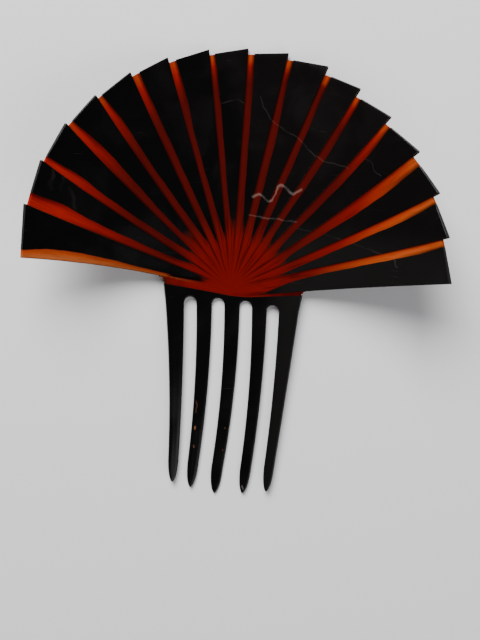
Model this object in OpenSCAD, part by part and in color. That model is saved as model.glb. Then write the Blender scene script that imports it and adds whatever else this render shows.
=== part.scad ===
// Mantilla comb: a pleated fan top and five teeth, bent across its width.
// It lies on its convex back. X runs across the wings, +Y to the top of the fan.
// Shapes are laid out flat as (across, up, height above the back) and then bent.

/* [Fan] */
// Reach of each pleat's outer corner from the hub
fan_r = 81.5; // [70:0.5:95]
// Reach of the lowest left corner, which is cut shorter
low_corner_r = 75.2; // [66:0.1:80]
// Rise of a pleat at the rim, from its groove to its steep edge
pleat_rise = 0.5; // [0.4:0.1:1.5]
// Depth of the black lap down the rim
rim_lap = 0.3; // [0.2:0.05:0.5]

/* [Sheet] */
// Thickness of the amber sheet
sheet_t = 1.2; // [1:0.1:3]
// Thickness of the black face over the teeth
black_t = 0.6; // [0.5:0.1:1.2]
// Radius of the bend, at the convex back
bend_r = 90.5; // [85:0.5:140]

/* [Teeth] */
// Centres of the first slots' round ends, below the hub
slot_down = 6; // [5.6:0.1:8]
// Drop of the front face from the hub to the tips of the teeth
tooth_thinning = 0.6; // [0:0.1:0.8]
// Length of the pointed end of a tooth
point_l = 9; // [5:0.5:12]

/* [Hidden] */
// Clearance between a black piece and the sheet under it, and beside its edges
gap = 0.03;
side_gap = 0.05;
// How far the sheet's rim lies inside the outer face of the black lap
sheet_inset = rim_lap + gap;
// How far the black stops above the back face
back_margin = 0.3;
// Widest share of a pleat that its groove may take
groove_max = 0.95;
// Height of the point where all ridges meet
hub_up = -1.5;
// Height at which the outermost edges pass the hub, at the left and at the right
left_miss = -1.4;
right_miss = -3.5;
// How far the outermost left edge bows up, half way out
left_bow = 1.3;

// Angle of the first edge, at the left
first_angle = 173.3;
// One row for each pleat, clockwise from the left:
// its angle in degrees, the reach of its inner tip, how far its corner is cut
// short of the fan's reach, how much lower than the corner before it its outer
// edge starts, then the groove's width at four reaches from the hub.
ANGLE = 0;
TIP = 1;
CUT = 2;
DROP = 3;
GROOVE = 4;
PLEATS = [
    [12.7, 8, 2.9, 1.3, 1.2, 3.1, 3.5, 2.7],
    [10.8, 14, 2.1, 1.3, 2.1, 3.2, 4.5, 4],
    [10.5, 16, 1.9, 1.2, 2.4, 2.5, 3.1, 2],
    [10, 22, 2, 1.3, 1.9, 3.3, 3.6, 2.2],
    [10.2, 16, 1.6, 1.3, 2.5, 2.5, 2.9, 1.9],
    [9.8, 14, 1.2, 1.3, 2.3, 2.6, 2.6, 2.7],
    [10.1, 16, 0.9, 1.5, 2.3, 2, 2.7, 2.3],
    [9.3, 20, 0.6, 1.6, 2, 2.1, 2.1, 1.7],
    [9.5, 18, 0.1, 1.7, 2.5, 2.3, 2.4, 2.1],
    [9.9, 16, 0.1, 1.9, 2.5, 2.7, 2.1, 2],
    [9.4, 18, 1.4, 2.6, 2.6, 2.4, 2.3, 2.3],
    [10.2, 18, 2.1, 2.8, 2.3, 2.8, 2.6, 2.1],
    [11, 18, 1.6, 2.8, 2.4, 3, 3, 2.3],
    [11, 18, 1.3, 2.7, 2.5, 4.1, 4.3, 3.9],
    [10.4, 16, 1.8, 2.6, 2.7, 2.8, 3.1, 2.5],
    [10.4, 10, 2.5, 2.5, 2.6, 2.6, 2.9, 2.5]
];
// Reaches at which the four groove widths hold
GROOVE_AT = [25, 55, 68, 79];
// Reaches of the rings of points round the hub. One more follows them, at the
// low ends of the outer edges.
RINGS = [6, 8, 10, 12, 14, 16, 18, 20, 22, 25, 30, 36, 42, 48, 55, 62, 68, 74];
last_ring = len(RINGS);
// Shares across a pleat, between its groove and its steep edge, where points lie
BLADE_SHARES = [0, 0.5, 1];

// One row for each tooth, from the left: its left and right edge across at the
// slots' round ends, half way down and low down, then its tip across and down.
TIP_X = 6;
TIP_DOWN = 7;
TEETH = [
    [-22.2, -15.85, -19.4, -14.7, -17.8, -14.2, -15.9, 71.2],
    [-11.45, -6.15, -10.25, -5.6, -10.85, -7, -9.3, 73],
    [-1.8, 3.5, -0.9, 3.85, -2.2, 1.9, -0.6, 74.7],
    [7.8, 12.95, 8.85, 13.25, 7.95, 11.8, 9.4, 73.9],
    [17.3, 24.1, 17.5, 22.3, 16.3, 19.9, 17.8, 72.2]
];
// How much lower than slot_down each slot's round end lies
SLOT_DROPS = [0, 0, 0.2, 0.9];
// Reaches down from the hub at which the three pairs of edges hold
EDGES_AT = [slot_down, 32, 64];
// Outline of a point: share of its length, share of its width
POINT = [[0.35, 0.93], [0.6, 0.8], [0.8, 0.6], [0.93, 0.37], [1, 0.14]];
// Steps down a tooth's edge
EDGE_STEPS = 6;
// The tooth block's top line from the left, as across and up
BLOCK_TOP = [[-23.2, 0.4], [0.5, -2.7], [6, -2.7], [24.9, -0.3]];
block_left = BLOCK_TOP[0][0];
block_right = BLOCK_TOP[3][0];
// How far the sheet of the teeth runs up inside the fan
fan_overlap = 2.6;
// Radii of the inner corners between the wings and the tooth block
left_fillet = 1.8;
right_fillet = 0.8;
// Sinks the teeth's sheet below the fan's, so that their faces never lie in one plane
skim = 0.02;

PLEAT_COUNT = len(PLEATS);
BLADE_NAMES = [for (k = [1 : PLEAT_COUNT]) str("pleat_", k < 10 ? "0" : "", k)];

amber = [0.78, 0.17, 0.02];
black = [0.04, 0.03, 0.03];

function sum_of(v, n) = n == 0 ? 0 : v[n - 1] + sum_of(v, n - 1);
function lerp(a, b, share) = a + (b - a) * share;
spans = [for (p = PLEATS) p[ANGLE]];
function edge_angle(k) = first_angle - sum_of(spans, k);
function edge_miss(k) = k == 0 ? left_miss : k == PLEAT_COUNT ? right_miss : 0;
function edge_bow(k) = k == 0 ? left_bow : 0;
function edge_scale(k) =
    k == 0 ? low_corner_r / low_reach(0) : 1 - PLEATS[k - 1][CUT] / fan_r;

// Reach at which the outer edge starts, clockwise from edge k
function low_reach(k) = fan_r - PLEATS[min(k, PLEAT_COUNT - 1)][DROP];

// A point of the edge between pleats k and k + 1, at a reach from the hub
function edge_point(k, reach) =
    let (r = reach * edge_scale(k), a = edge_angle(k))
    [r * cos(a),
        r * sin(a) + edge_miss(k) * (1 - r / fan_r) + edge_bow(k) * sin(180 * r / fan_r)];

// Bends the flat layout: the face this far above the back keeps its length
true_length_h = 1.5;
function bent(p, h) =
    let (turn = p[0] / (bend_r - true_length_h) * 180 / PI, r = bend_r - h)
    [r * sin(turn) - centre_x, p[1] - centre_y, bend_r - r * cos(turn)];

// The box of the whole comb, which puts the origin under its middle
function across(p) = bend_r * sin(p[0] / (bend_r - true_length_h) * 180 / PI);
left_reach = min(across(edge_point(0, low_reach(0))), across(edge_point(1, fan_r)));
right_reach = across(edge_point(PLEAT_COUNT, fan_r));
top_reach = max([for (k = [0 : PLEAT_COUNT]) edge_point(k, fan_r)[1]]);
tip_reach = max([for (t = TEETH) t[TIP_DOWN]]);
centre_x = (left_reach + right_reach) / 2;
centre_y = (top_reach - tip_reach) / 2;

// A smooth curve through a table of [place, value] rows
function slope(t, j) =
    let (a = max(0, j - 1), b = min(len(t) - 1, j + 1))
    (t[b][1] - t[a][1]) / (t[b][0] - t[a][0]);
function curve(x, t) =
    let (j = max([0, for (n = [1 : len(t) - 2]) if (t[n][0] <= x) n]),
        l = t[j + 1][0] - t[j][0],
        s = min(1, (x - t[j][0]) / l))
    (1 + 2 * s) * pow(1 - s, 2) * t[j][1] + s * pow(1 - s, 2) * l * slope(t, j)
    + s * s * (3 - 2 * s) * t[j + 1][1] - s * s * (1 - s) * l * slope(t, j + 1);

// Width of pleat k at a ring, and the share of it that the groove takes
function pleat_width(k, reach) = norm(edge_point(k, reach) - edge_point(k - 1, reach));
function groove_share(k, reach) =
    let (p = PLEATS[k - 1], w = pleat_width(k, reach))
    reach <= p[TIP] ? groove_max : min(groove_max, curve(reach, [
        [p[TIP], pleat_width(k, p[TIP])],
        [GROOVE_AT[0], p[GROOVE]],
        [GROOVE_AT[1], p[GROOVE + 1]],
        [GROOVE_AT[2], p[GROOVE + 2]],
        [GROOVE_AT[3], p[GROOVE + 3]]
    ]) / w);

// Reach of ring i on edge k
function ring_reach(k, i) = i < last_ring ? RINGS[i] : low_reach(k) - sheet_inset;
function share_at(k, i) = groove_share(k, ring_reach(k - 1, i));

// A point of pleat k on ring i, at a share of its width. The ring past the last
// is the outer edge, which climbs from the low end to the corner. The inset
// draws the outer edge back, for the sheet inside the black lap.
function pleat_point(k, i, share, inset) =
    i <= last_ring
    ? lerp(edge_point(k - 1, ring_reach(k - 1, i)), edge_point(k, ring_reach(k, i)), share)
    : lerp(edge_point(k - 1, low_reach(k - 1) - inset), edge_point(k, fan_r - inset), share);
// The pleat's rise over the sheet there
function rise_at(k, i, share) =
    let (outer = i <= last_ring ? ring_reach(k, i) : fan_r)
    pleat_rise / fan_r * share * lerp(ring_reach(k - 1, i), outer, share);

// Two triangles for a four-sided patch, without those that have no area
function patch(a, b, c, d) = [
    if (a != b && b != c && a != c) [a, b, c],
    if (a != c && c != d && a != d) [a, c, d]
];
function flat(lists) = [for (l = lists) for (item = l) item];

// The fan's sheet: one ring of points after another, in five lines a pleat.
// The lines are the groove's foot, its crest, the level under the black at the
// crest, half way across the black, and the steep edge, which is the next foot.
FOOT = 0;
CREST = 1;
LEVEL = 2;
MIDDLE = 3;
END = 4;
LINES = 5;
rows = last_ring + 2;

function line_share(k, c, i) =
    let (q = share_at(k, i))
    c == FOOT ? 0 : c == END ? 1 : c == MIDDLE ? (q + 1) / 2 : q;
function top_height(k, c, i) =
    sheet_t + (c == CREST ? rise_at(k, i, share_at(k, i)) : 0);
function fan_points(high) = [
    for (k = [1 : PLEAT_COUNT]) for (c = [0 : LINES - 1]) for (i = [0 : rows - 1])
        bent(pleat_point(k, i, line_share(k, c, i), sheet_inset),
            high ? top_height(k, c, i) : 0)
];
// Number of a point in the list, where lines that fall together share one
function spot(k, c, i) =
    c == FOOT && i == rows - 1 ? spot(k, FOOT, last_ring)
    : c == END && k < PLEAT_COUNT && i < rows - 1 ? spot(k + 1, FOOT, i)
    : ((k - 1) * LINES + c) * rows + i;
face_size = PLEAT_COUNT * LINES * rows;
function under(k, c, i) = spot(k, c == LEVEL ? CREST : c, i) + face_size;
hub_top = 2 * face_size;
hub_under = hub_top + 1;
TOP_STEPS = [[FOOT, CREST], [CREST, LEVEL], [LEVEL, MIDDLE], [MIDDLE, END]];
UNDER_STEPS = [[FOOT, CREST], [CREST, MIDDLE], [MIDDLE, END]];

function front_faces() = flat([
    for (k = [1 : PLEAT_COUNT]) for (s = TOP_STEPS) for (i = [0 : rows - 2])
        patch(spot(k, s[0], i), spot(k, s[0], i + 1), spot(k, s[1], i + 1), spot(k, s[1], i))
]);
function back_faces() = flat([
    for (k = [1 : PLEAT_COUNT]) for (s = UNDER_STEPS) for (i = [0 : rows - 2])
        patch(under(k, s[0], i), under(k, s[1], i), under(k, s[1], i + 1), under(k, s[0], i + 1))
]);
function rim_faces() =
    let (e = rows - 1)
    flat([for (k = [1 : PLEAT_COUNT]) flat([
        [
            [spot(k, CREST, e), spot(k, FOOT, e), spot(k, LEVEL, e)],
            [spot(k, LEVEL, e), spot(k, FOOT, e), under(k, CREST, e)],
            [under(k, CREST, e), spot(k, FOOT, e), under(k, FOOT, e)]
        ],
        patch(under(k, MIDDLE, e), spot(k, MIDDLE, e), spot(k, LEVEL, e), under(k, CREST, e)),
        patch(under(k, END, e), spot(k, END, e), spot(k, MIDDLE, e), under(k, MIDDLE, e)),
        k == PLEAT_COUNT ? [] : patch(under(k, END, e - 1), spot(k, END, e - 1),
            spot(k, END, e), under(k, END, e))
    ])]);
function edge_faces() = flat([for (i = [0 : rows - 2]) concat(
    patch(spot(1, FOOT, i), under(1, FOOT, i), under(1, FOOT, i + 1), spot(1, FOOT, i + 1)),
    patch(under(PLEAT_COUNT, END, i), spot(PLEAT_COUNT, END, i),
        spot(PLEAT_COUNT, END, i + 1), under(PLEAT_COUNT, END, i + 1))
)]);
function hub_faces() = concat(
    [for (k = [1 : PLEAT_COUNT]) for (s = TOP_STEPS)
        [hub_top, spot(k, s[0], 0), spot(k, s[1], 0)]],
    [for (k = [1 : PLEAT_COUNT]) for (s = UNDER_STEPS)
        [hub_under, under(k, s[1], 0), under(k, s[0], 0)]],
    patch(hub_under, hub_top, spot(PLEAT_COUNT, END, 0), under(PLEAT_COUNT, END, 0)),
    patch(under(1, FOOT, 0), spot(1, FOOT, 0), hub_top, hub_under)
);
module fan_sheet() {
    hub = [0, hub_up];
    polyhedron(
        points = concat(fan_points(true), fan_points(false),
            [bent(hub, sheet_t), bent(hub, 0)]),
        faces = concat(front_faces(), back_faces(), rim_faces(), edge_faces(), hub_faces()),
        convexity = 8);
}

// One black pleat. Each of its lines across is a closed loop: out along the face,
// down over the rim, in under the lap and back along the sheet.
function first_ring(k) = [for (i = [0 : last_ring - 1]) if (RINGS[i] == PLEATS[k - 1][TIP]) i][0];
function blade_share(k, i, share) =
    let (w = pleat_width(k, ring_reach(k - 1, i)))
    lerp(share_at(k, i) + side_gap / w, 1 - side_gap / w, share);
function blade_loop(k, share) =
    let (first = first_ring(k), out = rows - 1)
    concat(
        [for (i = [first : out])
            let (s = blade_share(k, i, share))
            bent(pleat_point(k, i, s, 0), sheet_t + rise_at(k, i, s))],
        [bent(pleat_point(k, out, blade_share(k, out, share), 0), back_margin)],
        [bent(pleat_point(k, out, blade_share(k, out, share), rim_lap), back_margin)],
        [for (i = [out : -1 : first])
            bent(pleat_point(k, i, blade_share(k, i, share), rim_lap), sheet_t + gap)]
    );
module blade(k) {
    count = rows - first_ring(k);
    size = 2 * count + 2;
    lines = len(BLADE_SHARES);
    // The underside's patches are cut the same way as those of the sheet below.
    // The caps run across the cut ends, from the face to the points under it.
    end_cap = [for (j = [0 : count - 2]) [j, j + 1, size - 2 - j, size - 1 - j]];
    lap_cap = [count - 1, count, count + 1, count + 2];
    color(black) polyhedron(
        points = flat([for (s = BLADE_SHARES) blade_loop(k, s)]),
        faces = concat(
            flat([for (c = [0 : lines - 2]) for (j = [0 : size - 1])
                let (n = (j + 1) % size, a = c * size, b = (c + 1) * size)
                j < count ? patch(a + j, a + n, b + n, b + j)
                    : patch(a + n, b + n, b + j, a + j)]),
            flat([for (q = concat(end_cap, [lap_cap])) patch(q[3], q[2], q[1], q[0])]),
            flat([for (q = concat(end_cap, [lap_cap]))
                let (m = (lines - 1) * size)
                patch(q[0] + m, q[1] + m, q[2] + m, q[3] + m)])
        ),
        convexity = 6);
}

// A smooth curve through three places, for the edges of the teeth
function through(down, y) =
    let (a = EDGES_AT[0], b = EDGES_AT[1], c = EDGES_AT[2])
    y[0] * (down - b) * (down - c) / ((a - b) * (a - c))
    + y[1] * (down - a) * (down - c) / ((b - a) * (b - c))
    + y[2] * (down - a) * (down - b) / ((c - a) * (c - b));
function left_edge(t, down) = through(down, [t[0], t[2], t[4]]);
function right_edge(t, down) = through(down, [t[1], t[3], t[5]]);

// Plan of one tooth, its sides drawn in by the inset
module tooth_plan(t, inset) {
    start = EDGES_AT[0];
    low = t[TIP_DOWN] - point_l;
    downs = [for (j = [0 : EDGE_STEPS]) lerp(start, low, j / EDGE_STEPS)];
    left = left_edge(t, low);
    right = right_edge(t, low);
    half = (right - left) / 2;
    middle = (right + left) / 2;
    tip_l = point_l - 2 * inset;
    right_side = concat(
        [[t[1] - inset, 1 - start]],
        [for (d = downs) [right_edge(t, d) - inset, -d]],
        [for (p = POINT) [lerp(middle, t[TIP_X], p[0]) + (half - inset) * p[1],
            -low - tip_l * p[0]]]
    );
    left_side = concat(
        [for (j = [len(POINT) - 1 : -1 : 0]) let (p = POINT[j])
            [lerp(middle, t[TIP_X], p[0]) - (half - inset) * p[1], -low - tip_l * p[0]]],
        [for (j = [EDGE_STEPS : -1 : 0]) [left_edge(t, downs[j]) + inset, -downs[j]]],
        [[t[0] + inset, 1 - start]]
    );
    polygon(concat(right_side, left_side));
}

// Plan of the tooth block and its teeth. The lift raises its top line into the fan.
module tine_plan(inset, lift) {
    last = len(TEETH) - 1;
    bottom = slot_down + max(SLOT_DROPS) - inset;
    difference() {
        polygon([
            BLOCK_TOP[0] + [inset, lift],
            BLOCK_TOP[1] + [0, lift],
            BLOCK_TOP[2] + [0, lift],
            BLOCK_TOP[3] + [-inset, lift],
            [right_edge(TEETH[last], bottom) - inset, -bottom],
            [left_edge(TEETH[0], bottom) + inset, -bottom]
        ]);
        for (j = [0 : last - 1])
            translate([(TEETH[j][1] + TEETH[j + 1][0]) / 2, -slot_down - SLOT_DROPS[j]]) {
                r = (TEETH[j + 1][0] - TEETH[j][1]) / 2 + inset;
                circle(r = r, $fn = 48);
                translate([-r, -r]) square([2 * r, r]);
            }
    }
    for (t = TEETH) tooth_plan(t, inset);
}

// Everything between two heights over the back, where the front one dips to the tips
module bent_layer(low, high) {
    l = 2 * (fan_r + tip_reach);
    dip = atan(tooth_thinning / tip_reach);
    translate([-centre_x, -centre_y, 0]) difference() {
        translate([0, 0, bend_r])
            rotate([90, 0, 0]) cylinder(r = bend_r - low, h = l, center = true, $fn = 360);
        rotate([dip, 0, 0]) translate([0, 0, bend_r])
            rotate([90, 0, 0]) cylinder(r = bend_r - high, h = 2 * l, center = true, $fn = 360);
    }
}
module cut_from_layer(low, high) {
    depth = 2 * sheet_t + pow(block_right, 2) / bend_r + 2;
    intersection() {
        bent_layer(low, high);
        translate([-centre_x, -centre_y, -1]) linear_extrude(depth) children();
    }
}

// The rounded inner corner between a wing's lower edge and the side of the block
module inner_corner(side, away, r) {
    k = away < 0 ? 0 : PLEAT_COUNT;
    centre = side + away * r;
    wing = edge_point(k, abs(centre))[1];
    wide = r + sheet_inset + gap;
    difference() {
        translate([away < 0 ? centre : centre - wide, wing - r]) square([wide, r + 1]);
        translate([centre, wing - r]) circle(r = r, $fn = 48);
    }
}

module amber_body() {
    color(amber) union() {
        fan_sheet();
        cut_from_layer(skim, sheet_t - skim) {
            tine_plan(rim_lap + gap, fan_overlap);
            inner_corner(block_left, -1, left_fillet);
            inner_corner(block_right, 1, right_fillet);
        }
    }
}

module tine_face() {
    color(black) difference() {
        cut_from_layer(back_margin, sheet_t + black_t) tine_plan(0, 0);
        cut_from_layer(-1, sheet_t + gap) tine_plan(rim_lap, fan_overlap);
    }
}

amber_body();
tine_face();
for (k = [1 : PLEAT_COUNT])
    blade(k);
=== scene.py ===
from math import asin, cos, hypot, pi, radians, sin, sqrt

import bmesh
import bpy
from mathutils import Matrix, Vector


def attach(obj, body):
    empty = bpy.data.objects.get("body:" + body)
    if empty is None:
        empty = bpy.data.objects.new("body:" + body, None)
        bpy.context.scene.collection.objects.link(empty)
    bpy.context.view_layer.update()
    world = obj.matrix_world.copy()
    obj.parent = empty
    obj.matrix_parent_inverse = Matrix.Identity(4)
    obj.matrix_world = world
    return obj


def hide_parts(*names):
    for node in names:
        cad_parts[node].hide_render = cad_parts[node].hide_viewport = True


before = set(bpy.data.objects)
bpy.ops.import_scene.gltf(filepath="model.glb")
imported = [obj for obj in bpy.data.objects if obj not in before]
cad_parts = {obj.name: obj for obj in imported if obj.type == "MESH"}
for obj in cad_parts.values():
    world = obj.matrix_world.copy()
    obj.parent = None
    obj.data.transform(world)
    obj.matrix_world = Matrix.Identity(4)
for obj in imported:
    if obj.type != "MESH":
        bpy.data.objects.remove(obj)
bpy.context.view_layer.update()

# Sizes in millimetres, as the solid model has them
MM = 0.001
# The fan: its reach, that of its lowest left corner, the rise of a pleat, and the
# widest share of a pleat that a groove takes
FAN_R = 81.5
LOW_CORNER_R = 75.2
PLEAT_RISE = 0.5
GROOVE_MAX = 0.95
# Where the fan's lines meet, up from the middle of its circle, how far up from that
# middle the wings' lower edges pass, how far the left one bows, and its angle
HUB_UP = -1.5
LEFT_MISS = -1.4
RIGHT_MISS = -3.5
LEFT_BOW = 1.3
FIRST_ANGLE = 173.3
# Thickness of the sheet and of the black over it, with the gaps that keep them apart
SHEET_T = 1.2
BLACK_T = 0.6
GAP = 0.03
SIDE_GAP = 0.05
# How far the black laps over an edge, how high over the back the lap ends, and how far
# inside the outline that leaves the sheet
RIM_LAP = 0.3
BACK_MARGIN = 0.3
SHEET_INSET = RIM_LAP + GAP
# The bend's radius at the back, and the height at which the bend keeps lengths
BEND_R = 90.5
TRUE_LENGTH_H = 1.5
# The teeth: where they start, how much thinner they end, how long their points are
SLOT_DOWN = 6
TOOTH_THINNING = 0.6
POINT_L = 9
# The corners between the wings and the block
LEFT_FILLET, RIGHT_FILLET = 1.8, 0.8
# The block's sheet reaches this far into the fan, and lies this far inside its faces
FAN_OVERLAP = 2.6
SKIM = 0.02

# Pleats, clockwise from the left: angle, reach of the inner tip, how far the corner
# is cut short, how much lower than the corner before it the outer edge starts, and
# the groove's width at four reaches
ANGLE, TIP, CUT, DROP, GROOVE = 0, 1, 2, 3, 4
PLEATS = [
    [12.7, 8, 2.9, 1.3, 1.2, 3.1, 3.5, 2.7],
    [10.8, 14, 2.1, 1.3, 2.1, 3.2, 4.5, 4],
    [10.5, 16, 1.9, 1.2, 2.4, 2.5, 3.1, 2],
    [10, 22, 2, 1.3, 1.9, 3.3, 3.6, 2.2],
    [10.2, 16, 1.6, 1.3, 2.5, 2.5, 2.9, 1.9],
    [9.8, 14, 1.2, 1.3, 2.3, 2.6, 2.6, 2.7],
    [10.1, 16, 0.9, 1.5, 2.3, 2, 2.7, 2.3],
    [9.3, 20, 0.6, 1.6, 2, 2.1, 2.1, 1.7],
    [9.5, 18, 0.1, 1.7, 2.5, 2.3, 2.4, 2.1],
    [9.9, 16, 0.1, 1.9, 2.5, 2.7, 2.1, 2],
    [9.4, 18, 1.4, 2.6, 2.6, 2.4, 2.3, 2.3],
    [10.2, 18, 2.1, 2.8, 2.3, 2.8, 2.6, 2.1],
    [11, 18, 1.6, 2.8, 2.4, 3, 3, 2.3],
    [11, 18, 1.3, 2.7, 2.5, 4.1, 4.3, 3.9],
    [10.4, 16, 1.8, 2.6, 2.7, 2.8, 3.1, 2.5],
    [10.4, 10, 2.5, 2.5, 2.6, 2.6, 2.9, 2.5],
]
GROOVE_AT = [25, 55, 68, 79]
PLEAT_COUNT = len(PLEATS)
# Waver of a groove's width from hand grinding: size, pace along the reach, pace from
# groove to groove, and the reaches over which it comes in
WAVERS = [(0.06, 0.43, 1.7), (0.04, 0.97, 2.9)]
WAVER_FADE = (20, 40)
# The rings of the sheet nearest the hub
HUB_RINGS = [0, 6, 8]
NEXT_RING = 10

# Teeth from the left: left and right edge across at the slots, half way and
# low down, then the tip across and down
TIP_X, TIP_DOWN = 6, 7
TEETH = [
    [-22.2, -15.85, -19.4, -14.7, -17.8, -14.2, -15.9, 71.2],
    [-11.45, -6.15, -10.25, -5.6, -10.85, -7, -9.3, 73],
    [-1.8, 3.5, -0.9, 3.85, -2.2, 1.9, -0.6, 74.7],
    [7.8, 12.95, 8.85, 13.25, 7.95, 11.8, 9.4, 73.9],
    [17.3, 24.1, 17.5, 22.3, 16.3, 19.9, 17.8, 72.2],
]
EDGES_AT = [SLOT_DOWN, 32, 64]
# How much lower than the first each slot's round end lies
SLOT_DROPS = [0, 0, 0.2, 0.9]
BLOCK_BOTTOM = SLOT_DOWN + max(SLOT_DROPS)
# The block's top line from the left, as across and up
BLOCK_TOP = [(-23.2, 0.4), (0.5, -2.7), (6, -2.7), (24.9, -0.3)]
BLOCK_LEFT, BLOCK_RIGHT = BLOCK_TOP[0][0], BLOCK_TOP[-1][0]
# Outline of a tooth's point: share of its length, share of its width
POINT = [
    [0.0, 1.0], [0.18, 0.98], [0.35, 0.93], [0.48, 0.873], [0.6, 0.8], [0.7, 0.71],
    [0.8, 0.6], [0.87, 0.49], [0.93, 0.37], [0.97, 0.25], [1.0, 0.14],
]

# Roundings of the polished edges. The rim's is larger from this pleat on.
STEEP_ROUND = 0.12
LEFT_RIM_ROUND, RIGHT_RIM_ROUND = 0.07, 0.2
RIGHT_RIM_FROM = 11
TOOTH_ROUND = 0.45
WING_ROUND = 0.4
# The reaches over which the wing's rounding comes in
WING_ROUND_FADE = (24, 28)
# Places along a rounding, as shares of its radius from the edge inwards
ROUND_STEPS = [0, 0.08, 0.29, 0.6, 1]
# How hollow a groove is ground at the rim, and how near the rim it runs out
GROOVE_HOLLOW = 0.05
GROOVE_END = 0.02
# The black's edge stays square this close to the block's top line
TOP_SQUARE = 0.6
# The largest roundings: as shares of a blade's width, its wall's height, the lowest
# groove's width and half a tooth's width
BLADE_SHARE, WALL_SHARE, GROOVE_SHARE, TOOTH_SHARE = 0.4, 0.8, 0.3, 0.6
# The least sizes that keep faces open: a wall, a pleat or rounding, and a groove
LEAST_WALL, LEAST_WIDTH, LEAST_GROOVE = 0.05, 0.01, 0.001
# The step down behind a crest: its width, and its largest share of what is left
STEP_WIDTH, STEP_SHARE = 0.02, 0.2
# Slack on the width of the lap, inside which the back of the black lies on the sheet
LAP_SLACK = 0.02
# Slack for a slot that meets a tooth's edge
TOUCH = 0.001
# How a tooth's face rounds down to its tip: slope and start
TIP_SLOPE, TIP_START = 1.2, 0.1
# The most of half a tooth's width that the sheet's inset takes
INSET_SHARE = 0.8

# Columns of a blade before its rounding, of a groove, of the sheet under a blade, and
# of a slot's round end
BLADE_STEPS, GROOVE_STEPS, UNDER_STEPS, ARC_STEPS = 6, 7, 3, 12
# Places of the columns between a tooth's roundings, and of the block's rows
TOOTH_INNER = (0.33, 0.67)
BLOCK_ROWS = [0, 0.04, 0.1, 0.17, 0.3, 0.5, 0.7, 0.88, 0.95, 1]
# Rows of a tooth beside the slots' ends, and from there to its point
NECK_ROWS, TOOTH_ROWS = 4, 16
# Vertices closer than this become one, in the fan and in the teeth
FAN_WELD, TINE_WELD = 0.0005, 0.002

# The two pattern maps. "stripe" holds the way across from a groove's crest and the
# reach. "fan" holds the turn, from the left wing to the right, and a share.
CREST, STRIPE_SPAN = 0.5, 20
# The reach past a blade's inner tip over which its worn look fades
TIP_WEAR = (1, 9)
# The turn that the block takes, in the middle of a pleat and almost still, so that it
# shows no line of the hub, and the turns of the two corners beside it
MID_TURN, BLOCK_SPAN = 8.5 / PLEAT_COUNT, 4000
CORNER_TURNS = {-1: 0.02, 1: 0.98}
CORNER_ACROSS = 0.4

# Walls lean more than this, and edges that turn further are sharp
WALL_NORMAL_Z = 0.5
SHARP = radians(38)


def lerp(a, b, share):
    return a + (b - a) * share


def lookup(x, table):
    """Straight-line value of a table of (place, value) rows."""
    if x <= table[0][0]:
        return table[0][1]
    for (x0, y0), (x1, y1) in zip(table, table[1:]):
        if x <= x1:
            return lerp(y0, y1, (x - x0) / (x1 - x0))
    return table[-1][1]


def curve(x, table):
    """Smooth value of a table of (place, value) rows."""
    def slope(j):
        (x0, y0), (x1, y1) = table[max(0, j - 1)], table[min(len(table) - 1, j + 1)]
        return (y1 - y0) / (x1 - x0)

    j = max([0] + [n for n in range(1, len(table) - 1) if table[n][0] <= x])
    length = table[j + 1][0] - table[j][0]
    t = min(1, (x - table[j][0]) / length)
    return ((1 + 2 * t) * (1 - t) ** 2 * table[j][1] + t * (1 - t) ** 2 * length * slope(j)
            + t * t * (3 - 2 * t) * table[j + 1][1]
            - t * t * (1 - t) * length * slope(j + 1))


def smooth(low, high, x):
    """0 below low, 1 above high, with a soft turn at both."""
    t = min(1, max(0, (x - low) / (high - low)))
    return t * t * (3 - 2 * t)


def rounding(distance, radius):
    """Drop of a rounded edge at a distance inside it."""
    if radius <= 0 or distance >= radius:
        return 0
    return radius - sqrt(max(0, radius ** 2 - (radius - distance) ** 2))


# The flat layout of the fan: across, up, in millimetres from the hub

def edge_angle(k):
    return radians(FIRST_ANGLE - sum(p[ANGLE] for p in PLEATS[:k]))


def low_reach(k):
    """Reach at which the outer edge starts, clockwise from edge k."""
    return FAN_R - PLEATS[min(k, PLEAT_COUNT - 1)][DROP]


def edge_point(k, reach):
    scale = LOW_CORNER_R / low_reach(0) if k == 0 else 1 - PLEATS[k - 1][CUT] / FAN_R
    miss = LEFT_MISS if k == 0 else RIGHT_MISS if k == PLEAT_COUNT else 0
    bow = LEFT_BOW if k == 0 else 0
    r = reach * scale
    a = edge_angle(k)
    return (r * cos(a), r * sin(a) + miss * (1 - r / FAN_R) + bow * sin(pi * r / FAN_R))


def between(p, q, share):
    return (lerp(p[0], q[0], share), lerp(p[1], q[1], share))


# Rings of points round the hub. Past the first of these two reaches they close up,
# so that the last one lies at the low ends of the outer edges.
EVEN_REACH = 60
LAST_RING = 79
RING_STEP = 2.2


def rings_from(first):
    count = max(2, round((LAST_RING - first) / RING_STEP))
    return [lerp(first, LAST_RING, j / count) for j in range(count + 1)]


def ring_reach(k, ring):
    """Reach of a ring on edge k."""
    if ring <= EVEN_REACH:
        return ring
    share = (ring - EVEN_REACH) / (LAST_RING - EVEN_REACH)
    return lerp(EVEN_REACH, low_reach(k) - SHEET_INSET, share)


def ring_ends(k, ring):
    return edge_point(k - 1, ring_reach(k - 1, ring)), edge_point(k, ring_reach(k, ring))


def pleat_width(k, ring):
    p, q = ring_ends(k, ring)
    return hypot(p[0] - q[0], p[1] - q[1])


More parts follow.
